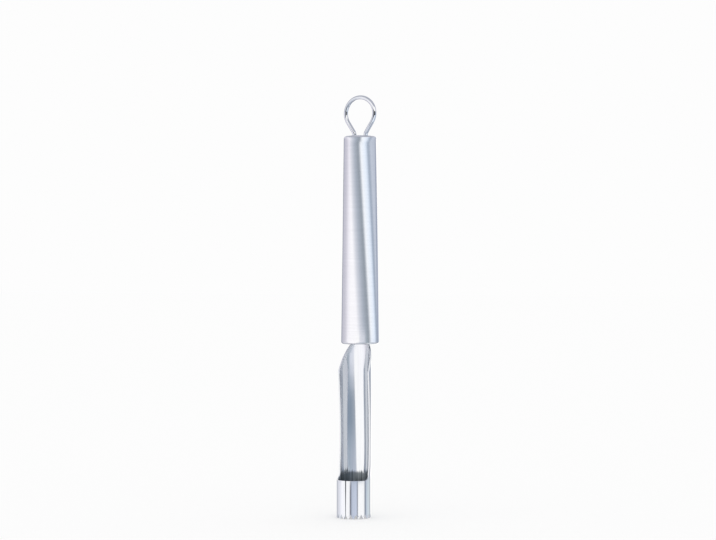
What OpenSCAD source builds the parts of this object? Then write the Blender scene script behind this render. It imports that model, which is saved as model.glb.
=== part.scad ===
// Apple corer: a hollow tapered handle, a wire hanging loop and a one-piece sheet blade.
// It is upright, as it hangs: Z runs along the tool with the loop on top,
// and the blade's trough opens towards -Y. Zero is where the loop bears on a hook.

/* [Handle] */
// Length of the handle tube
handle_length = 108; // [90:1:130]
// Outside diameter of the tube at the loop
handle_rear_d = 17; // [16:0.1:18.4]
// Outside diameter of the tube at the blade
handle_front_d = 19.6; // [18.8:0.1:22]
// Wall of the tube
handle_wall = 0.7; // [0.5:0.1:0.7]
// Outside radius of the rolled ends
roll_r = 1.7; // [1.6:0.1:2.2]
// Reach of the rolled lips, from the outside of the tube
lip_reach = 2.6; // [2.3:0.1:3]

/* [Caps and plugs] */
// Sheet of the pressed caps
cap_t = 0.7; // [0.5:0.1:0.7]
// Depth of the pressed caps, from the ends of the tube
cap_depth = 8; // [7:0.5:10]
// Length of the plug behind the tail cap, from the end of the tube
tail_plug_depth = 16; // [13:0.5:24]
// Plug round the tang, past the tang's end
plug_cover = 4; // [1:0.5:12]
// Peg that locks the tang to its plug
peg_d = 4; // [3:0.1:5]
// Depth of the peg from the end of the tube
peg_depth = 20; // [15:0.5:24]

/* [Hanging loop] */
// Wire of the loop
wire_d = 2.2; // [1.8:0.1:2.4]
// Radius of the eye, to the middle of the wire
eye_r = 8.35; // [7:0.05:9.5]
// Lean of the legs
leg_angle = 33; // [28:1:36]
// Legs apart where they enter the handle, middle to middle
leg_spacing = 6.5; // [5.6:0.1:7]
// Bend at the foot of each leg
foot_bend_r = 4; // [3:0.25:5]
// Straight wire between that bend and the handle
leg_run = 0.25; // [0:0.05:2]
// Bend of the turned tails behind the cap
hook_r = 2; // [1.5:0.1:2.2]

/* [Blade] */
// Sheet of the blade
sheet_t = 0.8; // [0.6:0.1:1]
// Outside diameter of the ring
ring_d = 17.5; // [16:0.1:18]
// Outside diameter of the trough, the neck and the tang
trough_d = 18.1; // [17.6:0.1:19]
// Where the ring starts to open out into the trough, above its rim
flare_start = 0.5; // [0.5:0.5:10]
// Length over which it opens out
flare_length = 8; // [3:0.5:12]
// Ring's axis in front of the handle's axis
ring_offset = 7.1; // [6.2:0.1:7.6]
// Length of the blade outside the handle, to the tooth tips
blade_length = 89.4; // [82:0.2:110]
// Height of the ring, from its rim to the tooth tips
ring_height = 19.6; // [14:0.2:24]
// Length of the tang inside the handle
tang_length = 30; // [27:0.5:36]
// Height of the tang's edges above the back of the sheet
tang_rise = 1.8; // [1.6:0.1:2.6]
// Length of the sloping shoulders below the handle
shoulder_length = 14.5; // [10:0.5:18]
// Trough's edges above the ring's axis at the shoulders
shoulder_rise = 0.4; // [-1:0.1:1.5]
// Pull of the trough's edges below the ring's axis
sag_drop = 2.9; // [0:0.1:4]
// Where that pull acts, below the handle
sag_at = 51; // [40:1:55]
// Trough's edges above the ring's axis at the ring
root_rise = 0.1; // [-1:0.1:1.5]
// Corner of the shoulders
shoulder_r = 3; // [1:0.5:6]
// Fillet between the trough's edges and the ring's rim
root_r = 3; // [1.5:0.25:4]
// Opening of the ring's seam at the rim
seam_rim_w = 0.5; // [0.2:0.05:0.8]
// Opening of the ring's seam at the teeth
seam_tip_w = 0.25; // [0.1:0.05:0.5]

/* [Teeth] */
// Teeth round the ring
tooth_count = 20; // [14:1:26]
// Depth of the teeth
tooth_depth = 2.2; // [1.4:0.1:3]
// Part of the pitch that each notch takes at the tips, inside the ring
notch_share = 0.94; // [0.6:0.02:0.96]

/* [Hidden] */
$fn = 96;

satin_steel = [0.76, 0.77, 0.79];
bright_steel = [0.86, 0.87, 0.89];
moulding = [0.83, 0.82, 0.77];

// Clearance between pressed pieces
press_gap = 0.05;
// Clearance round the tang, the wire and the peg
slip_gap = 0.1;
// Overlap that carries a cut clear of a face
over = 1;

// Loop, from the eye down to the handle
eye_z = wire_d / 2 - eye_r;
leg_x = leg_spacing / 2;
leg_top = [eye_r * cos(leg_angle), eye_z - eye_r * sin(leg_angle)];
leg_length = (leg_top.x - leg_x - foot_bend_r * (1 - cos(leg_angle))) / sin(leg_angle);
leg_foot = leg_top - leg_length * [sin(leg_angle), cos(leg_angle)];
foot_z = leg_foot.y - foot_bend_r * sin(leg_angle);
// Stretches of wire end this far short of each other, under a ball just thicker than the wire
join_gap = 0.02;
join_d = wire_d * 1.005;
// A rounding circle crosses the sides of its corner by this much
touch = 0.005;

// Handle, from its rear face to its front face
rear_z = foot_z - leg_run;
front_z = rear_z - handle_length;
rear_r = handle_rear_d / 2;
front_r = handle_front_d / 2;
taper = atan((front_r - rear_r) / handle_length);

// What nests inside the tube, as distances in from its outside
cap_inset = handle_wall + press_gap;
nose_inset = cap_inset + cap_t + press_gap;
hook_z = rear_z - cap_inset - cap_t;
hook_end_x = rear_r - nose_inset - 0.8;
tang_plug_depth = tang_length + plug_cover;

// Blade, with heights measured from the ring's axis towards the opening
ring_r = ring_d / 2;
bore_r = ring_r - sheet_t;
trough_r = trough_d / 2;
tip_z = front_z - blade_length;
flare_z = tip_z + ring_height + flare_start;
rim_drop = blade_length - ring_height;
tang_edge = tang_rise - trough_r;
pitch = 360 / tooth_count;
notch_w = 2 * notch_share * bore_r * sin(pitch / 2);
// The notches keep their slope this far past the tips
tip_clear = 0.02;
// Corners of the blade's edges, seen from the side
far = trough_d;
top_drop = -tang_length - over;
neck = side(tang_edge, 0);
shoulder = side(shoulder_rise, shoulder_length);
root = side(root_rise, rim_drop);
edge_steps = 8;
edge = [for (i = [0 : edge_steps]) bow(shoulder, side(-sag_drop, sag_at), root, i / edge_steps)];

// Radius of the tapered flank at a height, moved in from the outside of the tube
function flank_x(z, inset) = rear_r + (rear_z - z) * tan(taper) - inset / cos(taper);

function unit(v) = v / norm(v);

function half_angle(a, b, c) = acos(unit(a - b) * unit(c - b)) / 2;

// A point of the blade's side outline: rise above the ring's axis, drop below the handle
function side(rise, drop) = [-ring_offset - rise, front_z - drop];

// Point on the curve that leaves a towards b and reaches c from b
function bow(a, b, c, t) = (1 - t) ^ 2 * a + 2 * t * (1 - t) * b + t ^ 2 * c;

// What a circle leaves over when it rounds the corner b of the line a-b-c, carried on past the corner
module corner_sliver(a, b, c, r) {
    half = half_angle(a, b, c);
    run = r / tan(half);
    centre = b + unit(unit(a - b) + unit(c - b)) * r / sin(half);
    reach = [for (p = [b + unit(a - b) * run, b, b + unit(c - b) * run]) centre + 1.3 * (p - centre)];
    difference() {
        polygon([centre, each reach]);
        translate(centre) circle(r = r + touch);
    }
}

// Half section of the rolled handle, moved in from its outside
module rolled_outline(inset) {
    rear_axis = [0, rear_z - inset];
    rear_corner = [flank_x(rear_z - inset, inset), rear_z - inset];
    front_corner = [flank_x(front_z + inset, inset), front_z + inset];
    front_axis = [0, front_z + inset];
    difference() {
        polygon([rear_axis, rear_corner, front_corner, front_axis]);
        corner_sliver(rear_axis, rear_corner, front_corner, roll_r - inset);
        corner_sliver(rear_corner, front_corner, front_axis, roll_r - inset);
    }
}

// The stretch of that section between two heights
module outline_band(inset, from_z, to_z) {
    intersection() {
        rolled_outline(inset);
        translate([0, from_z]) square([handle_front_d, to_z - from_z]);
    }
}

module cap_cup(from_z, to_z) {
    difference() {
        rotate_extrude() outline_band(cap_inset, from_z, to_z);
        rotate_extrude() rolled_outline(cap_inset + cap_t);
    }
}

// Stretch of the tube's inside between two heights, as a solid
module tapered_core(from_z, to_z) {
    translate([0, 0, from_z])
        cylinder(r1 = flank_x(from_z, cap_inset), r2 = flank_x(to_z, cap_inset), h = to_z - from_z);
}

// Straight wire in the XZ plane, from a point along an angle from +Z
module straight_wire(from, angle, length) {
    translate([from.x, 0, from.y])
        rotate([0, angle, 0])
            translate([0, 0, join_gap]) cylinder(d = wire_d, h = length - 2 * join_gap);
}

// Wire bent to an arc in the XZ plane, from an angle through a sweep
module bent_wire(centre, r, from, sweep) {
    trim = join_gap / r * 180 / PI;
    translate([centre.x, 0, centre.y])
        rotate([90, 0, 0])
            rotate([0, 0, from + trim])
                rotate_extrude(angle = sweep - 2 * trim) translate([r, 0]) circle(d = wire_d);
}

// Ball that joins two stretches of wire
module wire_join(at) {
    translate([at.x, 0, at.y]) sphere(d = join_d);
}

// Drum on the ring's axis, between two heights, with its first vertex at the back
module ring_drum(r, from_z, to_z) {
    translate([0, -ring_offset, from_z]) rotate([0, 0, 90]) cylinder(r = r, h = to_z - from_z);
}

// The sheet before its edges are cut: the ring, and the wider trough above it
module rolled_sheet() {
    top_z = front_z + tang_length;
    full_z = flare_z + flare_length;
    translate([0, -ring_offset, 0])
        rotate([0, 0, 90])
            rotate_extrude()
                polygon([
                    [bore_r, tip_z], [ring_r, tip_z], [ring_r, flare_z],
                    [trough_r, full_z], [trough_r, top_z],
                    [trough_r - sheet_t, top_z], [trough_r - sheet_t, full_z], [bore_r, flare_z]
                ]);
}

// Curved strip of the tang, grown by a clearance
module tang_strip(grow, from_z, to_z) {
    difference() {
        ring_drum(trough_r + grow, from_z, to_z);
        ring_drum(trough_r - sheet_t - grow, from_z - over, to_z + over);
        translate([-far, -ring_offset - far, from_z - over])
            cube([2 * far, far - tang_edge - grow, to_z - from_z + 2 * over]);
    }
}

module peg(d, from_y, to_y) {
    translate([0, from_y, front_z + peg_depth])
        rotate([-90, 0, 0]) cylinder(d = d, h = to_y - from_y);
}

// A shape of the blade's side view, carried through its whole width
module through_sides() {
    rotate([90, 0, 90]) linear_extrude(height = 2 * far, center = true) children();
}

// All that is open in front of the blade's edges
module side_void() {
    rim = side(far, rim_drop);
    through_sides() {
        difference() {
            polygon([side(far, top_drop), side(tang_edge, top_drop), neck, each edge, rim]);
            corner_sliver(edge[edge_steps - 1], root, rim, root_r);
        }
    }
}

module shoulder_round() {
    through_sides() corner_sliver(neck, shoulder, edge[1], shoulder_r);
}

// A notch between two teeth, on the side of the ring that faces -Y
module tooth_notch() {
    from_r = 0.975 * bore_r;
    half = notch_w / 2 * (1 + tip_clear / tooth_depth);
    rotate([90, 0, 0])
        translate([0, 0, from_r])
            linear_extrude(height = ring_r + over - from_r)
                polygon([
                    [0, tip_z + tooth_depth], [-half, tip_z - tip_clear], [-half, tip_z - over],
                    [half, tip_z - over], [half, tip_z - tip_clear]
                ]);
}

// The open butt seam where the ends of the rolled ring meet
module ring_seam() {
    rim_z = front_z - rim_drop;
    translate([0, -ring_offset, 0])
        rotate([90, 0, 0])
            linear_extrude(height = ring_r + over)
                polygon([
                    [-seam_rim_w / 2, rim_z + over], [seam_rim_w / 2, rim_z + over],
                    [seam_tip_w / 2, tip_z - over], [-seam_tip_w / 2, tip_z - over]
                ]);
}

module handle_tube() {
    color(satin_steel) difference() {
        rotate_extrude() rolled_outline(0);
        rotate_extrude() rolled_outline(handle_wall);
        translate([0, 0, rear_z - roll_r]) cylinder(r = rear_r - lip_reach, h = roll_r + over);
        translate([0, 0, front_z - over]) cylinder(r = front_r - lip_reach, h = roll_r + over);
    }
}

module tail_cap() {
    color(satin_steel) difference() {
        cap_cup(rear_z - cap_depth, rear_z);
        for (x = [-leg_x, leg_x]) {
            translate([x, 0, rear_z - cap_depth]) cylinder(d = wire_d + 2 * slip_gap, h = cap_depth);
        }
    }
}

module loop_half() {
    straight_wire(leg_top, 180 + leg_angle, leg_length);
    bent_wire([leg_x + foot_bend_r, foot_z], foot_bend_r, 180 - leg_angle, leg_angle);
    straight_wire([leg_x, hook_z], 0, foot_z - hook_z);
    bent_wire([leg_x + hook_r, hook_z], hook_r, 180, 90);
    straight_wire([leg_x + hook_r, hook_z - hook_r], 90, hook_end_x - leg_x - hook_r);
    for (at = [leg_top, leg_foot, [leg_x, foot_z], [leg_x, hook_z], [leg_x + hook_r, hook_z - hook_r]]) {
        wire_join(at);
    }
}

module hanging_loop() {
    color(bright_steel) {
        bent_wire([0, eye_z], eye_r, -leg_angle, 180 + 2 * leg_angle);
        loop_half();
        mirror([1, 0, 0]) loop_half();
    }
}

module tail_plug() {
    nose_z = rear_z - roll_r;
    body_z = rear_z - cap_depth - press_gap;
    slot_w = wire_d + 2 * slip_gap;
    slot_z = hook_z - hook_r - slot_w / 2;
    color(moulding) difference() {
        union() {
            tapered_core(rear_z - tail_plug_depth, body_z);
            translate([0, 0, body_z]) cylinder(r = flank_x(rear_z, nose_inset), h = nose_z - body_z);
        }
        for (half = [0, 1]) mirror([half, 0, 0]) {
            translate([leg_x - slot_w / 2, -slot_w / 2, slot_z])
                cube([rear_r, slot_w, nose_z - slot_z + over]);
        }
    }
}

module front_cap() {
    color(satin_steel) difference() {
        cap_cup(front_z, front_z + cap_depth);
        tang_strip(slip_gap, front_z, front_z + cap_inset + cap_t + over);
    }
}

module blade() {
    color(bright_steel) difference() {
        rolled_sheet();
        side_void();
        shoulder_round();
        ring_seam();
        peg(peg_d + 2 * slip_gap, -ring_offset, ring_r);
        for (i = [0 : tooth_count - 1]) {
            translate([0, -ring_offset, 0]) rotate([0, 0, i * pitch]) tooth_notch();
        }
    }
}

module tang_plug() {
    nose_z = front_z + roll_r;
    body_z = front_z + cap_depth + press_gap;
    tapered_core(body_z, front_z + tang_plug_depth);
    translate([0, 0, nose_z]) cylinder(r = flank_x(body_z, nose_inset), h = body_z - nose_z);
}

module tang_plug_front() {
    color(moulding) {
        difference() {
            intersection() {
                tang_plug();
                ring_drum(trough_r, front_z, front_z + tang_plug_depth);
            }
            tang_strip(slip_gap, front_z, front_z + tang_length + slip_gap);
        }
        peg(peg_d, -ring_offset / 2, trough_r - ring_offset + peg_d / 2);
    }
}

module tang_plug_back() {
    color(moulding) difference() {
        tang_plug();
        ring_drum(trough_r + press_gap, front_z, front_z + tang_plug_depth + over);
        tang_strip(slip_gap, front_z, front_z + tang_length + slip_gap);
        peg(peg_d + 2 * slip_gap, 0, trough_r - ring_offset + peg_d / 2 + slip_gap);
    }
}

handle_tube();
tail_cap();
hanging_loop();
tail_plug();
front_cap();
blade();
tang_plug_front();
tang_plug_back();
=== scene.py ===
import math

import bpy
from mathutils import Matrix, Vector
from mathutils.geometry import delaunay_2d_cdt


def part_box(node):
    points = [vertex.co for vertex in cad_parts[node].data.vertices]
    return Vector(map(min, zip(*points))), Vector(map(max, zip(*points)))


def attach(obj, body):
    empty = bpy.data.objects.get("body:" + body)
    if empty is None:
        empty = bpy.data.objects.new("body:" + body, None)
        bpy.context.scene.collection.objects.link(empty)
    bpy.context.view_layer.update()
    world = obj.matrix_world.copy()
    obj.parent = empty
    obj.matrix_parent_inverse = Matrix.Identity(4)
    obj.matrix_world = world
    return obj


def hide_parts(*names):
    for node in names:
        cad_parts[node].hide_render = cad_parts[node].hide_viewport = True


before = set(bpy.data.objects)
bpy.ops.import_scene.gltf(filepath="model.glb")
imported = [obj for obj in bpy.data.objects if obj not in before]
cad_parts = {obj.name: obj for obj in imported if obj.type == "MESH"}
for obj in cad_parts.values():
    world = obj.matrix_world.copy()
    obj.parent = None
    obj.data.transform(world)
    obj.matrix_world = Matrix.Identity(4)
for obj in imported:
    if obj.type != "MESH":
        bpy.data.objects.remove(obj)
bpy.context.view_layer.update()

# Sizes and heights are in millimetres, up to the meshes and shaders
MM = 0.001

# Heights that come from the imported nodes
REAR_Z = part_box("handle_tube")[1].z / MM
FRONT_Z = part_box("handle_tube")[0].z / MM
TIP_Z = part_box("blade")[0].z / MM
TANG_TOP_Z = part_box("blade")[1].z / MM

# Handle tube
HANDLE_REAR_D = 17.0
HANDLE_FRONT_D = 19.6
HANDLE_WALL = 0.7
REAR_ROLL_R = 1.7
FRONT_ROLL_R = 1.0
LIP_REACH = 2.6
LIP_EDGE_R = 0.25
HANDLE_SIDES = 160
CORNER_STEPS = 10
# Radius of the circle that the handle's section is turned along
TURNING_R = 1.0

# Wire of the hanging loop
WIRE_D = 2.2
WIRE_SIDES = 32
EYE_STEPS = 48
FOOT_STEPS = 14
HOOK_STEPS = 12
EYE_R = 8.35
LEG_ANGLE = math.radians(33)
LEG_X = 3.25
FOOT_BEND_R = 4.0
HOOK_R = 2.0
HOOK_DROP = 1.45
HOOK_END_X = 6.2

# Sheet of the blade
SHEET_T = 0.8
RING_R = 8.75
TROUGH_R = 9.05
FLARE_START = 0.5
FLARE_LENGTH = 8.0
RING_OFFSET = 7.1
RING_HEIGHT = 19.6
TANG_RISE = 1.8
SHOULDER_LENGTH = 14.5
SHOULDER_RISE = 0.4
SAG_DROP = 2.9
SAG_AT = 51.0
ROOT_RISE = 0.1
SHOULDER_R = 3.0
ROOT_R = 3.0
SEAM_RIM_W = 0.5
SEAM_TIP_W = 0.25
TOOTH_COUNT = 20
TOOTH_DEPTH = 2.2
NOTCH_SHARE = 0.94
EDGE_BREAK = 0.07

# What follows from the sheet: its middle is rolled to these radii, between these heights
RING_ROLL = RING_R - SHEET_T / 2
TROUGH_ROLL = TROUGH_R - SHEET_T / 2
RIM_Z = TIP_Z + RING_HEIGHT
VALLEY_Z = TIP_Z + TOOTH_DEPTH
FLARE_FROM = RIM_Z + FLARE_START
FLARE_TO = FLARE_FROM + FLARE_LENGTH

# How finely the sheet is divided
NECK_STEPS = 24
SHOULDER_STEPS = 8
BOW_STEPS = 60
ROOT_STEPS = 14
RIM_STEPS = 24
SEAM_STEPS = 16
FLANK_STEPS = 3
ROUNDING_CLEAR = 0.4
LATTICE_TURN = math.radians(1.5)
LATTICE_RISE = 2.4
LATTICE_FROM = 0.2
LATTICE_CLEAR = 0.16
MERGE = 1e-5
# Smallest cosines for a full mitre, and for two sides shaded as one
MITRE_LEAN = 0.35
CREASE = 0.9

# Where the sheet changes: its rubbed lips, and a rougher band over and under the rim in painted shade
LIP_WEAR = 2.4
DARK_BAND_OVER = 3.9
DARK_BAND_FADE = 1.9
DARK_BAND_UNDER = 9.0
DARK_BAND_FULL_UNDER = 1.0
STREAK_REACH = 6.0
# Margin that tells a cut face from a skin
FACE_REACH = 0.03

# Patterns in the finishes
GRAIN_PITCH = 0.5
GRAIN_RUN = 16.7
DULL_PATCH = 29.4
STREAK_PITCH = 1.11
STREAK_RUN = 20.0
WAVE_LENGTH = 8.33
MOTTLE = 3.03

# Camera, and where the tool's axis stands in its picture
VIEW_AZIMUTH = math.radians(28)
VIEW_DISTANCE = 1000.0
VIEW_Z = -88.64
VIEW_SIDE = -1.09
LENS = 96.7

# Studio: a round tent with a shelf, two dark cards before the loop, and a floor
TENT_R = 200.0
TENT_LOW = -600.0
TENT_HIGH = 400.0
TENT_SIDES = 96
TENT_GLOW = 1.65
SHELF_IN = 13.0
SHELF_OUT = 50.0
SHELF_Z = -15.5
CARD_R = 50.0
CARD_LOW = -13.0
CARD_HIGH = 3.0
CARD_SPANS = ((-45, -10), (6, 58))
CARD_STEPS = 12
FLOOR_REACH = 8000.0
FLOOR_LIFT = 0.36


def linear(code):
    """An sRGB hex colour as linear RGBA."""
    parts = [int(code[i:i + 2], 16) / 255 for i in (0, 2, 4)]
    return [c / 12.92 if c <= 0.04045 else ((c + 0.055) / 1.055) ** 2.4 for c in parts] + [1.0]


def add(tree, kind, inputs=None, stops=(), **settings):
    """A new node. Inputs are values or output sockets, by name or by place: 6 and 7 are the two colours
    of a Mix. Stops are the places and hex colours along a colour ramp."""
    node = tree.nodes.new(kind)
    for name, value in settings.items():
        setattr(node, name, value)
    for key, value in (inputs or {}).items():
        if isinstance(value, bpy.types.NodeSocket):
            tree.links.new(value, node.inputs[key])
        else:
            node.inputs[key].default_value = value
    if stops:
        elements = node.color_ramp.elements
        elements.remove(elements[1])
        elements[0].position, elements[0].color = stops[0][0], linear(stops[0][1])
        for position, code in stops[1:]:
            elements.new(position).color = linear(code)
    return node


def material_tree(name):
    """A new material and its empty node tree."""
    mat = bpy.data.materials.new(name)
    mat.use_nodes = True
    mat.node_tree.nodes.clear()
    return mat, mat.node_tree


def per_metre(size):
    """Scale of a pattern whose features have a size in millimetres."""
    return 1 / (size * MM)


# Materials

def satin_steel():
    """Stainless steel tube, belt polished while it turned: bands stay crisp round the tube, and run out
    along it."""
    mat, tree = material_tree("stainless_steel_satin_turned")
    place = add(tree, "ShaderNodeTexCoord").outputs["Object"]
    # Grain rings are 0.05 mm apart on the real tube; here 0.5 mm, as fine as the picture can show
    scale = (per_metre(GRAIN_RUN), per_metre(GRAIN_RUN), per_metre(GRAIN_PITCH))
    rings = add(tree, "ShaderNodeMapping", {"Vector": place, "Scale": scale})
    grain = add(
        tree, "ShaderNodeTexNoise", {"Vector": rings.outputs["Vector"], "Scale": 1.0, "Detail": 3.0},
    ).outputs["Fac"]
    # Patches about 30 mm across, where handling has dulled the polish
    dull_and_painted_shade = add(tree, "ShaderNodeTexNoise", {"Vector": place, "Scale": per_metre(DULL_PATCH), "Detail": 2.0})
    sheen = add(tree, "ShaderNodeMapRange", {"Value": dull_and_painted_shade.outputs["Fac"], "To Min": 0.1, "To Max": 0.14})
    rough = add(tree, "ShaderNodeMapRange", {"Value": grain, "To Min": -0.015, "To Max": 0.015})
    total = add(tree, "ShaderNodeMath", {0: sheen.outputs[0], 1: rough.outputs[0]}, operation="ADD")
    colour = add(tree, "ShaderNodeValToRGB", {"Fac": grain}, stops=[(0.25, "C7CACF"), (0.75, "CDD0D5")])
    bump = add(tree, "ShaderNodeBump", {"Height": grain, "Strength": 0.03, "Distance": 0.0001})
    tangent = add(tree, "ShaderNodeTangent", direction_type="RADIAL", axis="Z")
    steel = add(
        tree, "ShaderNodeBsdfPrincipled",
        {
            "Base Color": colour.outputs["Color"], "Metallic": 1.0, "Roughness": total.outputs[0],
            "Normal": bump.outputs[0], "Anisotropic": 0.3, "Tangent": tangent.outputs[0],
        },
    )
    add(tree, "ShaderNodeOutputMaterial", {"Surface": steel.outputs[0]})
    return mat


def buffed_steel(name, low, high, wave):
    """What buffed stainless steel shares, sheet or wire: a slightly wavy mirror with streaks.
    Returns the material, its tree, and the parts that a finish can change."""
    mat, tree = material_tree(name)
    place = add(tree, "ShaderNodeTexCoord").outputs["Object"]
    # Buffing streaks along the metal, about 1 mm apart and 20 mm long
    scale = (per_metre(STREAK_PITCH), per_metre(STREAK_PITCH), per_metre(STREAK_RUN))
    along = add(tree, "ShaderNodeMapping", {"Vector": place, "Scale": scale})
    streaks = add(
        tree, "ShaderNodeTexNoise", {"Vector": along.outputs["Vector"], "Scale": 1.0, "Detail": 4.0},
    ).outputs["Fac"]
    rough = add(tree, "ShaderNodeMapRange", {"Value": streaks, "To Min": low, "To Max": high}).outputs[0]
    colour = add(
        tree, "ShaderNodeValToRGB", {"Fac": streaks}, stops=[(0.3, "C4C8CE"), (0.7, "CBCFD5")],
    ).outputs["Color"]
    # Waves about 8 mm long that pressing and rolling leave
    waves = add(tree, "ShaderNodeTexNoise", {"Vector": place, "Scale": per_metre(WAVE_LENGTH), "Detail": 1.0})
    bump = add(
        tree, "ShaderNodeBump",
        {"Height": waves.outputs["Fac"], "Strength": wave, "Distance": 0.0004},
    )
    steel = add(
        tree, "ShaderNodeBsdfPrincipled",
        {"Base Color": colour, "Metallic": 1.0, "Roughness": rough, "Normal": bump.outputs[0]},
    )
    add(tree, "ShaderNodeOutputMaterial", {"Surface": steel.outputs[0]})
    return mat, tree, place, streaks, colour, rough, steel


def painted_dark_rim_band(tree, spot, out, streaks):
    """Mask of a band round the rim's inside, painted dark grey in place of a reflection of the ring's shaded
    inside. The band ends in streaks over the rim, and fades out again below it."""
    within = add(tree, "ShaderNodeMath", {0: out, 1: RING_ROLL * MM}, operation="LESS_THAN")
    ragged = add(
        tree, "ShaderNodeMath",
        {0: streaks, 1: STREAK_REACH * MM, 2: spot.outputs["Z"]}, operation="MULTIPLY_ADD",
    )
    top = RIM_Z + DARK_BAND_OVER + STREAK_REACH / 2
    over = add(
        tree, "ShaderNodeMapRange",
        {"Value": ragged.outputs[0], "From Min": top * MM, "From Max": (top - DARK_BAND_FADE) * MM},
        interpolation_type="SMOOTHSTEP",
    )
    under = add(
        tree, "ShaderNodeMapRange",
        {
            "Value": spot.outputs["Z"],
            "From Min": (RIM_Z - DARK_BAND_UNDER) * MM, "From Max": (RIM_Z - DARK_BAND_FULL_UNDER) * MM,
        },
        interpolation_type="SMOOTHSTEP",
    )
    band = add(tree, "ShaderNodeMath", {0: over.outputs[0], 1: under.outputs[0]}, operation="MULTIPLY")
    mask = add(tree, "ShaderNodeMath", {0: within.outputs[0], 1: band.outputs[0]}, operation="MULTIPLY")
    return mask.outputs[0]


def seam_faces(tree, spot):
    """Mask of the two faces of the ring's seam."""
    half_gap = add(
        tree, "ShaderNodeMapRange",
        {
            "Value": spot.outputs["Z"], "From Min": TIP_Z * MM, "From Max": RIM_Z * MM,
            "To Min": (SEAM_TIP_W / 2 + FACE_REACH) * MM, "To Max": (SEAM_RIM_W / 2 + FACE_REACH) * MM,
        },
    )
    aside = add(tree, "ShaderNodeMath", {0: spot.outputs["X"]}, operation="ABSOLUTE")
    near = add(tree, "ShaderNodeMath", {0: aside.outputs[0], 1: half_gap.outputs[0]}, operation="LESS_THAN")
    ahead = add(tree, "ShaderNodeMath", {0: spot.outputs["Y"], 1: -RING_OFFSET * MM}, operation="LESS_THAN")
    mask = add(tree, "ShaderNodeMath", {0: near.outputs[0], 1: ahead.outputs[0]}, operation="MULTIPLY")
    return mask.outputs[0]


def sheared_faces(tree, spot, out):
    """Mask of the cut edges, which lie between the sheet's two skins."""
    middle = add(
        tree, "ShaderNodeMapRange",
        {
            "Value": spot.outputs["Z"], "From Min": FLARE_FROM * MM, "From Max": FLARE_TO * MM,
            "To Min": RING_ROLL * MM, "To Max": TROUGH_ROLL * MM,
        },
        interpolation_type="SMOOTHSTEP",
    )
    off = add(tree, "ShaderNodeMath", {0: out, 1: middle.outputs[0]}, operation="SUBTRACT")
    depth = add(tree, "ShaderNodeMath", {0: off.outputs[0]}, operation="ABSOLUTE")
    skin = (SHEET_T / 2 - FACE_REACH) * MM
    mask = add(tree, "ShaderNodeMath", {0: depth.outputs[0], 1: skin}, operation="LESS_THAN")
    return mask.outputs[0]


def buffed_sheet():
    """Stainless steel sheet, buffed bright. A band round the rim's inside and the seam's sheared faces are
    rougher, and painted dark grey as shade: reflected shade at the rim, shade in the seam's narrow gap. Cut
    edges are matt, and the trough's lips are rubbed matt and pale inside."""
    name = "stainless_steel_buffed_sheet"
    mat, tree, place, streaks, colour, rough, steel = buffed_steel(name, 0.06, 0.12, 0.05)
    flat = {"Vector": place, "Location": (0, RING_OFFSET * MM, 0), "Scale": (1, 1, 0)}
    from_axis = add(tree, "ShaderNodeMapping", flat).outputs[0]
    out = add(tree, "ShaderNodeVectorMath", {0: from_axis}, operation="LENGTH").outputs["Value"]
    spot = add(tree, "ShaderNodeSeparateXYZ", {"Vector": place})

    lip = add(tree, "ShaderNodeAttribute", attribute_name="lip").outputs["Fac"]
    cut = sheared_faces(tree, spot, out)
    rim, seam = painted_dark_rim_band(tree, spot, out, streaks), seam_faces(tree, spot)
    # Painted shade: the rim band stands in for a shaded reflection, the seam's faces for shade in their gap
    dull_and_painted_shade = add(tree, "ShaderNodeMath", {0: rim, 1: seam}, operation="MAXIMUM").outputs[0]
    # Streaked dark grey of that painted shade
    shade_grey = add(tree, "ShaderNodeValToRGB", {"Fac": streaks}, stops=[(0.36, "666D73"), (0.64, "A2AAB0")])

    # Each of these places is rougher than the mirror, by so much, and has a tone of its own
    for mask, rougher, tone in (
        (lip, 0.6, linear("E6E9ED")), (cut, 0.15, linear("C2C6CC")), (dull_and_painted_shade, 0.32, shade_grey.outputs["Color"]),
    ):
        rough = add(
            tree, "ShaderNodeMath", {0: mask, 1: rougher, 2: rough}, operation="MULTIPLY_ADD",
        ).outputs[0]
        colour = add(
            tree, "ShaderNodeMix", {"Factor": mask, 6: colour, 7: tone}, data_type="RGBA",
        ).outputs[2]
    tree.links.new(rough, steel.inputs["Roughness"])
    tree.links.new(colour, steel.inputs["Base Color"])
    return mat


def drawn_wire():
    """Stainless steel wire, drawn and tumbled bright."""
    return buffed_steel("stainless_steel_drawn_wire", 0.03, 0.06, 0.02)[0]


def moulded_plastic():
    """Natural polypropylene as it leaves the mould: pale, waxy, faintly mottled."""
    mat, tree = material_tree("polypropylene_natural_moulded")
    place = add(tree, "ShaderNodeTexCoord").outputs["Object"]
    # Flow mottle about 3 mm across
    mottle = add(
        tree, "ShaderNodeTexNoise", {"Vector": place, "Scale": per_metre(MOTTLE), "Detail": 2.0},
    ).outputs["Fac"]
    colour = add(tree, "ShaderNodeValToRGB", {"Fac": mottle}, stops=[(0.3, "D8D5CB"), (0.7, "E2DFD6")])
    rough = add(tree, "ShaderNodeMapRange", {"Value": mottle, "To Min": 0.42, "To Max": 0.52})
    plastic = add(
        tree, "ShaderNodeBsdfPrincipled",
        {"Base Color": colour.outputs["Color"], "Roughness": rough.outputs[0], "IOR": 1.49},
    )
    add(tree, "ShaderNodeOutputMaterial", {"Surface": plastic.outputs[0]})
    return mat


SATIN = satin_steel()
BRIGHT = buffed_sheet()
WIRE = drawn_wire()
PLASTIC = moulded_plastic()


# Shapes

def between(a, b, steps):
    """Evenly spaced points from a to b, without these two."""
    return [tuple(p + (q - p) * i / steps for p, q in zip(a, b)) for i in range(1, steps)]


def arc(centre, r, start, sweep, steps):
    """Points on a circle, angles in radians, both ends included."""
    turns = [start + sweep * i / steps for i in range(steps + 1)]
    return [(centre[0] + r * math.cos(turn), centre[1] + r * math.sin(turn)) for turn in turns]


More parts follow.
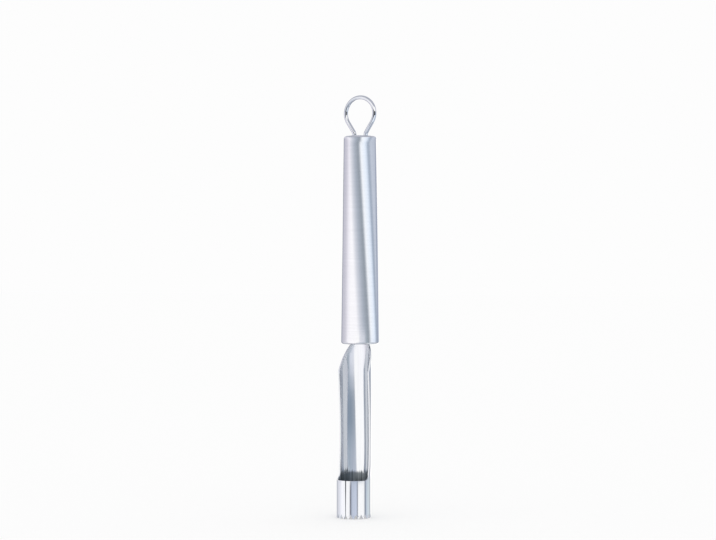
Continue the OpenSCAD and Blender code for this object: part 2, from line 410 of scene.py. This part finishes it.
def rounded(a, b, c, r, steps):
    """The arc that rounds the corner b of the line a-b-c."""
    b = Vector(b)
    to_a, to_c = (Vector(a) - b).normalized(), (Vector(c) - b).normalized()
    half = to_a.angle(to_c) / 2
    centre = b + (to_a + to_c).normalized() * r / math.sin(half)
    first = b + to_a * r / math.tan(half) - centre
    last = b + to_c * r / math.tan(half) - centre
    start = math.atan2(first.y, first.x)
    sweep = (math.atan2(last.y, last.x) - start + math.pi) % (2 * math.pi) - math.pi
    return arc(centre, r, start, sweep, steps)


def gap(point, a, b):
    """Distance from a point to the straight edge from a to b."""
    along = max(0.0, min(1.0, (point - a).dot(b - a) / (b - a).length_squared))
    return (a + (b - a) * along - point).length


def linked(name, data):
    """A new object in the scene."""
    thing = bpy.data.objects.new(name, data)
    bpy.context.scene.collection.objects.link(thing)
    return thing


def plain_mesh(name, verts, polys):
    """A mesh of points given in millimetres."""
    mesh = bpy.data.meshes.new(name)
    mesh.from_pydata([tuple(c * MM for c in v) for v in verts], [], polys)
    return mesh


def path_curve(name, points, cyclic):
    """A poly curve through points given in millimetres."""
    curve = bpy.data.curves.new(name, "CURVE")
    curve.dimensions = "3D"
    spline = curve.splines.new("POLY")
    spline.points.add(len(points) - 1)
    for point, co in zip(spline.points, points):
        point.co = (co[0] * MM, co[1] * MM, co[2] * MM, 1)
    spline.use_cyclic_u = cyclic
    return curve


def geometry_tree(name, sizes):
    """An empty tree with a geometry input, a material input and named inputs for its sizes."""
    tree = bpy.data.node_groups.new(name, "GeometryNodeTree")
    face = tree.interface
    face.new_socket("Geometry", in_out="INPUT", socket_type="NodeSocketGeometry")
    face.new_socket("Geometry", in_out="OUTPUT", socket_type="NodeSocketGeometry")
    for label, kind in sizes:
        face.new_socket(label, in_out="INPUT", socket_type=kind)
    face.new_socket("Material", in_out="INPUT", socket_type="NodeSocketMaterial")
    return tree, add(tree, "NodeGroupInput")


def close_tree(tree, source, geometry):
    """Ends a tree in smooth, realised geometry with its material set."""
    smooth = add(tree, "GeometryNodeSetShadeSmooth", {"Geometry": geometry})
    real = add(tree, "GeometryNodeRealizeInstances", {"Geometry": smooth.outputs[0]})
    dressed = add(
        tree, "GeometryNodeSetMaterial",
        {"Geometry": real.outputs[0], "Material": source.outputs["Material"]},
    )
    add(tree, "NodeGroupOutput", {"Geometry": dressed.outputs[0]})


def grown(name, base, tree, values):
    """Runs a tree on base data and returns the result as an object with a plain mesh."""
    holder = linked(name + "_base", base)
    modifier = holder.modifiers.new(tree.name, "NODES")
    modifier.node_group = tree
    for item in tree.interface.items_tree:
        if item.in_out == "INPUT" and item.name in values:
            modifier[item.identifier] = values[item.name]
    view = bpy.context.evaluated_depsgraph_get()
    mesh = bpy.data.meshes.new_from_object(holder.evaluated_get(view), depsgraph=view)
    mesh.name = name
    bpy.data.objects.remove(holder)
    return linked(name, mesh)


def dress(piece, slot, *nodes):
    """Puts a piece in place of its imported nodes."""
    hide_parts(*nodes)
    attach(piece, "root")


# The handle: one section turned round the tool's axis

def turned_tree():
    """Carries a section round a circle."""
    sizes = [("Sides", "NodeSocketInt"), ("Core Radius", "NodeSocketFloat")]
    tree, source = geometry_tree("turned_tube", sizes)
    path = add(
        tree, "GeometryNodeCurvePrimitiveCircle",
        {"Resolution": source.outputs["Sides"], "Radius": source.outputs["Core Radius"]},
    )
    turned = add(
        tree, "GeometryNodeCurveToMesh",
        {"Curve": path.outputs[0], "Profile Curve": source.outputs["Geometry"]},
    )
    close_tree(tree, source, turned.outputs[0])
    return tree


def flank(z, inset):
    """Radius of the tapered tube at a height, moved in from its outside."""
    slope = (HANDLE_FRONT_D - HANDLE_REAR_D) / 2 / (REAR_Z - FRONT_Z)
    return HANDLE_REAR_D / 2 + (REAR_Z - z) * slope - inset * math.sqrt(1 + slope ** 2)


def handle_section():
    """Closed half section of the tube as (radius, height), with rolled ends and eased lips."""
    rear_lip = HANDLE_REAR_D / 2 - LIP_REACH
    front_lip = HANDLE_FRONT_D / 2 - LIP_REACH
    rear_in, front_in = REAR_Z - HANDLE_WALL, FRONT_Z + HANDLE_WALL
    corners = [
        ((rear_lip, rear_in), LIP_EDGE_R),
        ((rear_lip, REAR_Z), LIP_EDGE_R),
        ((flank(REAR_Z, 0), REAR_Z), REAR_ROLL_R),
        ((flank(FRONT_Z, 0), FRONT_Z), FRONT_ROLL_R),
        ((front_lip, FRONT_Z), LIP_EDGE_R),
        ((front_lip, front_in), LIP_EDGE_R),
        ((flank(front_in, HANDLE_WALL), front_in), FRONT_ROLL_R - HANDLE_WALL),
        ((flank(rear_in, HANDLE_WALL), rear_in), REAR_ROLL_R - HANDLE_WALL),
    ]
    points = []
    for i, (corner, r) in enumerate(corners):
        before, after = corners[i - 1][0], corners[(i + 1) % len(corners)][0]
        points += rounded(before, corner, after, r, CORNER_STEPS)
    return points


def make_handle():
    profile = [(r - TURNING_R, -z, 0) for r, z in handle_section()]
    return grown(
        "handle_tube_satin", path_curve("handle_section", profile, True), turned_tree(),
        {"Sides": HANDLE_SIDES, "Core Radius": TURNING_R * MM, "Material": SATIN},
    )


# The hanging loop: one wire along its bent path

def wire_tree():
    """Carries a round section along the wire's path."""
    sizes = [("Wire Diameter", "NodeSocketFloat"), ("Sides", "NodeSocketInt")]
    tree, source = geometry_tree("bent_wire", sizes)
    radius = add(tree, "ShaderNodeMath", {0: source.outputs["Wire Diameter"], 1: 0.5}, operation="MULTIPLY")
    section = add(
        tree, "GeometryNodeCurvePrimitiveCircle",
        {"Resolution": source.outputs["Sides"], "Radius": radius.outputs[0]},
    )
    swept = add(
        tree, "GeometryNodeCurveToMesh",
        {"Curve": source.outputs["Geometry"], "Profile Curve": section.outputs[0], "Fill Caps": True},
    )
    close_tree(tree, source, swept.outputs[0])
    return tree


def loop_path():
    """The wire's middle line in the XZ plane, from one turned tail over the crown to the other."""
    eye_z = WIRE_D / 2 - EYE_R
    top = Vector((EYE_R * math.cos(LEG_ANGLE), eye_z - EYE_R * math.sin(LEG_ANGLE)))
    run = (top.x - LEG_X - FOOT_BEND_R * (1 - math.cos(LEG_ANGLE))) / math.sin(LEG_ANGLE)
    foot_z = top.y - run * math.cos(LEG_ANGLE) - FOOT_BEND_R * math.sin(LEG_ANGLE)
    hook_z = REAR_Z - HOOK_DROP
    half = arc((0, eye_z), EYE_R, math.pi / 2, -math.pi / 2 - LEG_ANGLE, EYE_STEPS)
    half += arc((LEG_X + FOOT_BEND_R, foot_z), FOOT_BEND_R, math.pi - LEG_ANGLE, LEG_ANGLE, FOOT_STEPS)
    half += arc((LEG_X + HOOK_R, hook_z), HOOK_R, math.pi, math.pi / 2, HOOK_STEPS)
    half += [(HOOK_END_X, hook_z - HOOK_R)]
    left = [(-x, z) for x, z in reversed(half[1:])]
    return [(x, 0, z) for x, z in left + half]


def make_loop():
    return grown(
        "hanging_loop_wire", path_curve("loop_path", loop_path(), False), wire_tree(),
        {"Wire Diameter": WIRE_D * MM, "Sides": WIRE_SIDES, "Material": WIRE},
    )


# The blade: a flat toothed blank, then rolled round the ring's axis

def rolling_tree():
    """Rolls a flat blank: X runs round the ring's axis, and Y is the way out from the sheet's middle."""
    labels = ("Ring Radius", "Trough Radius", "Flare From", "Flare To", "Axis Offset")
    tree, source = geometry_tree("rolled_sheet", [(label, "NodeSocketFloat") for label in labels])
    ring, trough, flare_from, flare_to, offset = (source.outputs[label] for label in labels)
    flat = add(tree, "ShaderNodeSeparateXYZ", {"Vector": add(tree, "GeometryNodeInputPosition").outputs[0]})
    turn = add(tree, "ShaderNodeMath", {0: flat.outputs["X"], 1: ring}, operation="DIVIDE").outputs[0]
    rolled_to = add(
        tree, "ShaderNodeMapRange",
        {
            "Value": flat.outputs["Z"], "From Min": flare_from, "From Max": flare_to,
            "To Min": ring, "To Max": trough,
        },
        interpolation_type="SMOOTHSTEP",
    )
    reach = add(
        tree, "ShaderNodeMath", {0: flat.outputs["Y"], 1: rolled_to.outputs[0]}, operation="ADD",
    ).outputs[0]
    sine = add(tree, "ShaderNodeMath", {0: turn}, operation="SINE")
    cosine = add(tree, "ShaderNodeMath", {0: turn}, operation="COSINE")
    x = add(tree, "ShaderNodeMath", {0: reach, 1: sine.outputs[0]}, operation="MULTIPLY")
    deep = add(tree, "ShaderNodeMath", {0: reach, 1: cosine.outputs[0]}, operation="MULTIPLY")
    y = add(tree, "ShaderNodeMath", {0: deep.outputs[0], 1: offset}, operation="SUBTRACT")
    place = add(tree, "ShaderNodeCombineXYZ", {"X": x.outputs[0], "Y": y.outputs[0], "Z": flat.outputs["Z"]})
    rolled = add(
        tree, "GeometryNodeSetPosition",
        {"Geometry": source.outputs["Geometry"], "Position": place.outputs[0]},
    )
    close_tree(tree, source, rolled.outputs[0])
    return tree


def round_back(depth, z):
    """Way round the sheet from the middle of its back to a depth behind the ring's axis."""
    t = max(0.0, min(1.0, (z - FLARE_FROM) / FLARE_LENGTH))
    outside = RING_R + (TROUGH_R - RING_R) * t * t * (3 - 2 * t)
    return RING_ROLL * math.acos(max(-1.0, min(1.0, depth / outside)))


def side_edge():
    """Right-hand edge of the sheet seen from the side, from the tang's end to the rim: (depth, height)."""
    neck = (TROUGH_R - TANG_RISE, FRONT_Z)
    shoulder = (-SHOULDER_RISE, FRONT_Z - SHOULDER_LENGTH)
    pull = (SAG_DROP, FRONT_Z - SAG_AT)
    root = (-ROOT_RISE, RIM_Z)
    rim = (-RING_R, RIM_Z)
    bow = []
    for i in range(BOW_STEPS + 1):
        t = i / BOW_STEPS
        weights = ((1 - t) ** 2, 2 * t * (1 - t), t ** 2)
        bow.append(tuple(sum(w * p[k] for w, p in zip(weights, (shoulder, pull, root))) for k in (0, 1)))
    past_shoulder, before_root = bow[6], bow[-8]
    corner = rounded(neck, shoulder, past_shoulder, SHOULDER_R, SHOULDER_STEPS)
    fillet = rounded(before_root, root, rim, ROOT_R, ROOT_STEPS)
    high, low = corner[-1][1] - ROUNDING_CLEAR, fillet[0][1] + ROUNDING_CLEAR
    points = [(neck[0], TANG_TOP_Z), neck]
    points += between(neck, corner[0], NECK_STEPS)
    points += corner
    points += [p for p in bow if high > p[1] > low]
    points += fillet
    return points


def tooth_edge():
    """Right-hand half of the toothed edge, from the seam to the back: (way round, height)."""
    pitch = 2 * math.pi / TOOTH_COUNT
    bore_r = RING_R - SHEET_T
    slope = math.asin(NOTCH_SHARE * bore_r * math.sin(pitch / 2) / RING_ROLL)
    points = []
    for i in range(TOOTH_COUNT // 2):
        valley = math.pi - i * pitch
        # The seam takes the first notch's middle away
        seam = SEAM_TIP_W / 2 / RING_R if i == 0 else 0
        start = (valley - seam, VALLEY_Z - TOOTH_DEPTH * seam / slope)
        tip_in, tip_out = (valley - slope, TIP_Z), (valley - pitch + slope, TIP_Z)
        points += [start] + between(start, tip_in, FLANK_STEPS) + [tip_in]
        points += [tip_out] + between(tip_out, (valley - pitch, VALLEY_Z), FLANK_STEPS)
    points.append((0.0, VALLEY_Z))
    return [(angle * RING_ROLL, z) for angle, z in points]


def blank_outline():
    """Outline of the flat blank, anticlockwise: (way round, height)."""
    edge = [(round_back(depth, z), z) for depth, z in side_edge()]
    seam_top = ((math.pi - SEAM_RIM_W / 2 / RING_R) * RING_ROLL, RIM_Z)
    rim = between((edge[-1][0], RIM_Z), seam_top, RIM_STEPS) + [seam_top]
    teeth = tooth_edge()
    right = edge + rim + between(seam_top, teeth[0], SEAM_STEPS) + teeth
    left = [(-s, z) for s, z in reversed(right[:-1])]
    return list(reversed(right + left))


def drawn_in(outline, reach):
    """The outline moved inwards, each corner kept square to its two sides."""
    points = []
    count = len(outline)
    for i in range(count):
        a, b, c = (Vector(outline[k % count]) for k in (i - 1, i, i + 1))
        first, last = (b - a).normalized(), (c - b).normalized()
        inward = Vector((-first.y, first.x)) + Vector((-last.y, last.x))
        inward.normalize()
        lean = max(MITRE_LEAN, inward.dot(Vector((-first.y, first.x))))
        points.append(tuple(b + inward * reach / lean))
    return points


def inside(point, polygon):
    """Whether a point is inside a closed outline."""
    hit = False
    x, y = point
    for (ax, ay), (bx, by) in zip(polygon, polygon[1:] + polygon[:1]):
        if (ay > y) != (by > y) and x < ax + (y - ay) / (by - ay) * (bx - ax):
            hit = not hit
    return hit


def clear_of(point, polygon, reach):
    """Whether a point is further than a reach from a closed outline."""
    for a, b in zip(polygon, polygon[1:] + polygon[:1]):
        beside = max(a[1], b[1]) < point[1] - reach or min(a[1], b[1]) > point[1] + reach
        if not beside and gap(Vector(point), Vector(a), Vector(b)) < reach:
            return False
    return True


def lattice_in(skin):
    """Points inside the blank's skin, close enough round it for a smooth bend."""
    step = RING_ROLL * LATTICE_TURN
    top = int(math.pi * RING_ROLL / step) + 1
    rows = int((TANG_TOP_Z - TIP_Z) / LATTICE_RISE) + 1
    lattice = [
        (i * step, TIP_Z + LATTICE_FROM + k * LATTICE_RISE) for i in range(-top, top + 1) for k in range(rows)
    ]
    return [p for p in lattice if inside(p, skin) and clear_of(p, skin, LATTICE_CLEAR)]


def flat_blank():
    """The blank as a closed flat mesh: its points as (way round, way out, height), its faces, and the normal
    of each face corner before rolling."""
    outline = blank_outline()
    skin = drawn_in(outline, EDGE_BREAK)
    flat = [Vector(p) for p in skin + lattice_in(skin)]
    found, _, faces, origin, _, _ = delaunay_2d_cdt(flat, [], [list(range(len(skin)))], 1, MERGE)
    at = {old: new for new, olds in enumerate(origin) for old in olds}
    half = SHEET_T / 2
    count, ring = len(found), len(outline)
    verts = [(p.x, half, p.y) for p in found] + [(p.x, -half, p.y) for p in found]
    verts += [(s, half - EDGE_BREAK, z) for s, z in outline] + [(s, EDGE_BREAK - half, z) for s, z in outline]

    # The two skins
    polys, normals = [], []
    out, back = Vector((0, 1, 0)), Vector((0, -1, 0))
    for face in faces:
        polys.append(list(face)[::-1])
        normals += [out] * len(face)
        polys.append([count + i for i in face])
        normals += [back] * len(face)

    # The cut edge between them, with a broken corner to each skin
    sides = []
    for i in range(ring):
        run = Vector(outline[(i + 1) % ring]) - Vector(outline[i])
        sides.append(Vector((run.y, 0, -run.x)).normalized())
    outer, inner = 2 * count, 2 * count + ring
    for i in range(ring):
        j = (i + 1) % ring
        here, first, last = sides[i], sides[i - 1], sides[j]
        at_i = (here + first).normalized() if here.dot(first) > CREASE else here
        at_j = (here + last).normalized() if here.dot(last) > CREASE else here
        a, b = at[i], at[j]
        polys += [
            [a, b, outer + j, outer + i],
            [outer + i, outer + j, inner + j, inner + i],
            [inner + i, inner + j, count + b, count + a],
        ]
        normals += [out, out, at_j, at_i, at_i, at_j, at_j, at_i, at_i, at_j, back, back]
    return verts, polys, normals


def lip_wear(verts):
    """How far each point of the blank is rubbed: only inside the trough, and most at its side edges."""
    edge = [Vector((round_back(depth, z), z)) for depth, z in side_edge()[1:]]
    inner_skin = EDGE_BREAK / 2 - SHEET_T / 2
    wear = []
    for s, out, z in verts:
        near = LIP_WEAR
        for a, b in zip(edge, edge[1:]):
            if out < inner_skin and b.y - near < z < a.y + near:
                near = min(near, gap(Vector((abs(s), z)), a, b))
        wear.append(1 - near / LIP_WEAR)
    return wear


def make_blade():
    verts, polys, normals = flat_blank()
    blank = plain_mesh("blade_blank", verts, polys)
    blank.attributes.new("lip", "FLOAT", "POINT").data.foreach_set("value", lip_wear(verts))
    piece = grown(
        "blade_sheet", blank, rolling_tree(),
        {
            "Ring Radius": RING_ROLL * MM, "Trough Radius": TROUGH_ROLL * MM, "Flare From": FLARE_FROM * MM,
            "Flare To": FLARE_TO * MM, "Axis Offset": RING_OFFSET * MM, "Material": BRIGHT,
        },
    )
    turned = []
    for loop, normal in zip(piece.data.loops, normals):
        turned.append(Matrix.Rotation(-verts[loop.vertex_index][0] / RING_ROLL, 3, "Z") @ normal)
    piece.data.normals_split_custom_set(turned)
    return piece


handle = make_handle()
dress(handle, "satin_steel", "handle_tube")
loop = make_loop()
dress(loop, "bright_wire", "hanging_loop")
blade = make_blade()
dress(blade, "bright_steel", "blade")

for node, mat in (
    ("tail_cap", SATIN), ("front_cap", SATIN),
    ("tail_plug", PLASTIC), ("tang_plug_front", PLASTIC), ("tang_plug_back", PLASTIC),
):
    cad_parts[node].material_slots[0].material = mat


# Light: a tent of pale panels that only reflections see, over a white floor.
# Each zone of the tent lights one part of the tool. Its cloth is a list of degrees round the tent, from the
# camera's side, and colours. Grey gaps at the back keep the tool's far side from going flat.

TENT_BACK = [
    (-180, "FFFFFF"), (-172, "FFFFFF"), (-164, "8E929E"), (-146, "969AA6"), (-134, "C2C2CE"),
    (-118, "C4C4CF"), (-98, "D6D5DD"),
]
TROUGH_LEFT = [
    (-180, "FFFFFF"), (-172, "FFFFFF"), (-164, "8A909C"), (-142, "8A909C"), (-126, "C8CCD4"), (-88, "D4D7DE"),
    (-85, "A4ACB8"), (-80, "A4ACB8"), (-77, "FFFFFF"), (-14, "FFFFFF"),
]
TROUGH_RIGHT = [
    (90, "B4B4BE"), (120, "BCBCC6"), (136, "9AA0AC"), (152, "9AA0AC"), (162, "FFFFFF"), (180, "FFFFFF"),
]
BY_LOOP = [
    (-180, "E8EAF2"), (-150, "A8ABB8"), (-125, "B0B3C0"), (-90, "C8CAD4"), (-56, "FFFFFF"), (55, "FFFFFF"),
    (90, "C8CAD4"), (125, "B0B3C0"), (150, "A8ABB8"), (180, "E8EAF2"),
]
BY_HANDLE = TENT_BACK + [
    (-78, "F4F3F8"), (-60, "FFFFFF"), (120, "FFFFFF"), (134, "D0D2DA"), (150, "C8CAD2"), (160, "FFFFFF"),
    (180, "FFFFFF"),
]
HANDLE_STRIPS = [
    (-180, "FFFFFF"), (-48, "FCFBFF"), (-26, "D0D4DE"), (-4, "ACB4C1"), (20, "929BA5"), (27, "A2A9B3"),
    (40, "F6FAFF"), (66, "EAF3FF"), (78, "D0DCEC"), (88, "A4B0C1"), (97, "A4AFBF"), (112, "C2CAD8"),
    (165, "B4BCCB"), (180, "FFFFFF"),
]
BY_NECK = TENT_BACK + [
    (-80, "FAF9FE"), (-8, "FFFFFF"), (0, "E4E6EE"), (24, "D8DCE6"), (38, "A3ADB7"), (54, "949CA4"),
    (72, "F0F6FF"), (97, "E4EEFC"), (120, "A2ABBA"), (134, "98A0AE"), (150, "98A0AE"), (160, "FFFFFF"),
    (180, "FFFFFF"),
]
BY_TROUGH = TROUGH_LEFT + [(-8, "A0A8B3"), (14, "8C99A8"), (40, "8493A4"), (62, "8C98A6")] + TROUGH_RIGHT
BY_ROOT = TROUGH_LEFT + [(-8, "BAC0CC"), (14, "AEB6C4"), (40, "A4B0BE"), (62, "A4B0BE")] + TROUGH_RIGHT
BY_RING = [
    (-180, "FFFFFF"), (-172, "FFFFFF"), (-164, "949AA6"), (-148, "A4A8B2"), (-136, "C8CAD4"),
    (-122, "D6D8E0"), (-105, "E4E6EE"), (-88, "FAFAFF"), (-32, "FFFFFF"), (-28, "F0F0F4"),
    (-23, "747883"), (-19, "747883"), (-15, "AAB2C2"), (-8, "C4CCDD"), (18, "C4CCDD"),
    (22, "9096A2"), (25, "9096A2"), (29, "FFFFFF"), (70, "FFFFFF"), (80, "8F98A6"), (87, "8F98A6"),
    (95, "C8D2DE"), (128, "CCD6DA"), (140, "A4AAB4"), (152, "A4AAB4"), (162, "FFFFFF"), (180, "FFFFFF"),
]
SKIRT = [
    (-180, "FFFFFF"), (-172, "F8F8FC"), (-164, "9094A0"), (-142, "9094A0"), (-120, "C4C4CE"), (-60, "DCDBE2"),
    (0, "CACDD6"), (45, "A6ACB6"), (62, "A6ACB6"), (76, "E8EEF4"), (100, "E0E8F0"), (116, "B0B8C4"),
    (136, "9CA2AE"), (152, "9CA2AE"), (162, "F8F8FC"), (180, "FFFFFF"),
]
CEILING = "B0B3BE"

# Levels where leaning strips are true, and how far they lean, in degrees a metre
HANDLE_LEVEL = -73.0
HANDLE_LEAN = 460.0
TROUGH_LEVEL = -171.0
TROUGH_LEAN = -250.0


def hung(tree, height, around, cloth, level=0.0, lean=0.0):
    """Colour of a cloth hung round the tent. Its strips may lean, and are then true at one level."""
    lift = add(tree, "ShaderNodeMath", {0: height, 1: -level * MM}, operation="ADD")
    leant = add(
        tree, "ShaderNodeMath",
        {0: lift.outputs[0], 1: math.radians(lean), 2: around}, operation="MULTIPLY_ADD",
    )
    angle = add(tree, "ShaderNodeMath", {0: leant.outputs[0], 1: -math.pi, 2: math.pi}, operation="WRAP")
    share = add(
        tree, "ShaderNodeMapRange",
        {"Value": angle.outputs[0], "From Min": -math.pi, "From Max": math.pi},
    )
    stops = [((degrees + 180) / 360, code) for degrees, code in cloth]
    return add(tree, "ShaderNodeValToRGB", {"Fac": share.outputs[0]}, stops=stops).outputs["Color"]


def tent_material():
    """White cloth with grey gaps, a zone for each part of the tool. Strips lean by the handle, and the
    other way by the trough; elsewhere they stand upright."""
    mat, tree = material_tree("light_tent_cloth")
    place = add(tree, "ShaderNodeSeparateXYZ", {"Vector": add(tree, "ShaderNodeTexCoord").outputs["Object"]})
    behind = add(tree, "ShaderNodeMath", {0: place.outputs["Y"], 1: -1.0}, operation="MULTIPLY")
    turn = add(tree, "ShaderNodeMath", {0: place.outputs["X"], 1: behind.outputs[0]}, operation="ARCTAN2")
    around = add(
        tree, "ShaderNodeMath", {0: turn.outputs[0], 1: VIEW_AZIMUTH}, operation="SUBTRACT",
    ).outputs[0]
    height = place.outputs["Z"]
    strips = hung(tree, height, around, HANDLE_STRIPS, HANDLE_LEVEL, HANDLE_LEAN)
    by_handle = add(
        tree, "ShaderNodeMix", {"Factor": 1.0, 6: hung(tree, height, around, BY_HANDLE), 7: strips},
        data_type="RGBA", blend_type="MULTIPLY",
    ).outputs[2]
    by_trough = hung(tree, height, around, BY_TROUGH, TROUGH_LEVEL, TROUGH_LEAN)
    by_root = hung(tree, height, around, BY_ROOT, TROUGH_LEVEL, TROUGH_LEAN)

    # From the skirt up, each zone joins the one below it softly between two heights
    zones = hung(tree, height, around, SKIRT)
    for cloth, low, high in (
        (hung(tree, height, around, BY_RING), -275, -255), (by_root, -219, -215), (by_trough, -210, -180),
        (hung(tree, height, around, BY_NECK), -172, -141), (by_handle, -138.5, -134.5),
        (hung(tree, height, around, BY_LOOP), 18, 22), (linear(CEILING), 100, 130),
    ):
        part = add(
            tree, "ShaderNodeMapRange",
            {"Value": height, "From Min": low * MM, "From Max": high * MM}, interpolation_type="SMOOTHSTEP",
        ).outputs[0]
        zones = add(tree, "ShaderNodeMix", {"Factor": part, 6: zones, 7: cloth}, data_type="RGBA").outputs[2]
    warm = add(
        tree, "ShaderNodeMix", {"Factor": 1.0, 6: zones, 7: linear("FFFBF6")},
        data_type="RGBA", blend_type="MULTIPLY",
    )
    glow = add(tree, "ShaderNodeEmission", {"Color": warm.outputs[2], "Strength": TENT_GLOW})
    add(tree, "ShaderNodeOutputMaterial", {"Surface": glow.outputs[0]})
    return mat


def studio_piece(name, verts, polys, mat):
    """A piece of the studio, of points given in millimetres."""
    mesh = plain_mesh(name, verts, polys)
    mesh.materials.append(mat)
    return linked(name, mesh)


def only_mirrored(piece):
    """Hides a piece of the studio from all but reflections."""
    piece.visible_camera = piece.visible_diffuse = False
    piece.visible_shadow = piece.visible_transmission = False
    return piece


def make_tent():
    """Round wall and ceiling, with a narrow shelf below the cards that keeps them out of the handle's
    top roll."""
    verts, polys = [], []
    for r, z in ((TENT_R, TENT_LOW), (TENT_R, TENT_HIGH), (SHELF_IN, SHELF_Z), (SHELF_OUT, SHELF_Z)):
        verts += [(x, y, z) for x, y in arc((0, 0), r, 0, 2 * math.pi, TENT_SIDES)[:-1]]
    for base in (0, 2 * TENT_SIDES):
        for i in range(TENT_SIDES):
            j = (i + 1) % TENT_SIDES
            polys.append((base + i, base + j, base + TENT_SIDES + j, base + TENT_SIDES + i))
    polys.append(tuple(range(TENT_SIDES, 2 * TENT_SIDES)))
    return only_mirrored(studio_piece("light_tent", verts, polys, tent_material()))


def make_flags():
    """Two black cards in front of the loop, which give its bright wire something dark to reflect."""
    mat, tree = material_tree("black_flag_card")
    felt = add(tree, "ShaderNodeBsdfDiffuse", {"Color": linear("14151A")})
    add(tree, "ShaderNodeOutputMaterial", {"Surface": felt.outputs[0]})
    verts, polys = [], []
    for start, end in CARD_SPANS:
        base = len(verts)
        first = VIEW_AZIMUTH - math.pi / 2 + math.radians(start)
        for x, y in arc((0, 0), CARD_R, first, math.radians(end - start), CARD_STEPS):
            verts += [(x, y, CARD_LOW), (x, y, CARD_HIGH)]
        for i in range(base, base + 2 * CARD_STEPS, 2):
            polys.append((i, i + 2, i + 3, i + 1))
    return only_mirrored(studio_piece("black_flags", verts, polys, mat))


def make_floor():
    """White table top, brought up to the background's white for the camera, so that only shadow
    darkens it."""
    mat, tree = material_tree("white_table_top")
    seen = add(tree, "ShaderNodeLightPath").outputs["Is Camera Ray"]
    lift = add(tree, "ShaderNodeMath", {0: seen, 1: FLOOR_LIFT}, operation="MULTIPLY")
    paint = add(tree, "ShaderNodeBsdfDiffuse", {"Color": linear("D0D0D0")})
    glow = add(tree, "ShaderNodeEmission", {"Color": linear("FFFFFF"), "Strength": lift.outputs[0]})
    both = add(tree, "ShaderNodeAddShader", {0: paint.outputs[0], 1: glow.outputs[0]})
    add(tree, "ShaderNodeOutputMaterial", {"Surface": both.outputs[0]})
    corners = [(x * FLOOR_REACH, y * FLOOR_REACH, TIP_Z) for x, y in ((-1, -1), (1, -1), (1, 1), (-1, 1))]
    floor = studio_piece("floor", corners, [(0, 1, 2, 3)], mat)
    floor.visible_glossy = False
    return floor


make_tent()
make_flags()
make_floor()

world = bpy.data.worlds.new("white_studio")
bpy.context.scene.world = world
world.use_nodes = True
world.node_tree.nodes.clear()
sky = add(world.node_tree, "ShaderNodeBackground", {"Color": linear("FDFDFD"), "Strength": 1.0})
add(world.node_tree, "ShaderNodeOutputWorld", {"Surface": sky.outputs[0]})

# Camera, level and square to the tool

lens = bpy.data.cameras.new("camera")
lens.lens = LENS
lens.sensor_width = 36
lens.clip_start = 0.01
camera = linked("camera", lens)
across = Vector((math.cos(VIEW_AZIMUTH), math.sin(VIEW_AZIMUTH), 0))
away = Vector((math.sin(VIEW_AZIMUTH), -math.cos(VIEW_AZIMUTH), 0))
camera.location = (away * VIEW_DISTANCE + across * VIEW_SIDE + Vector((0, 0, VIEW_Z))) * MM
camera.rotation_euler = (math.pi / 2, 0, VIEW_AZIMUTH)
bpy.context.scene.camera = camera
bpy.context.scene.view_settings.view_transform = "Standard"
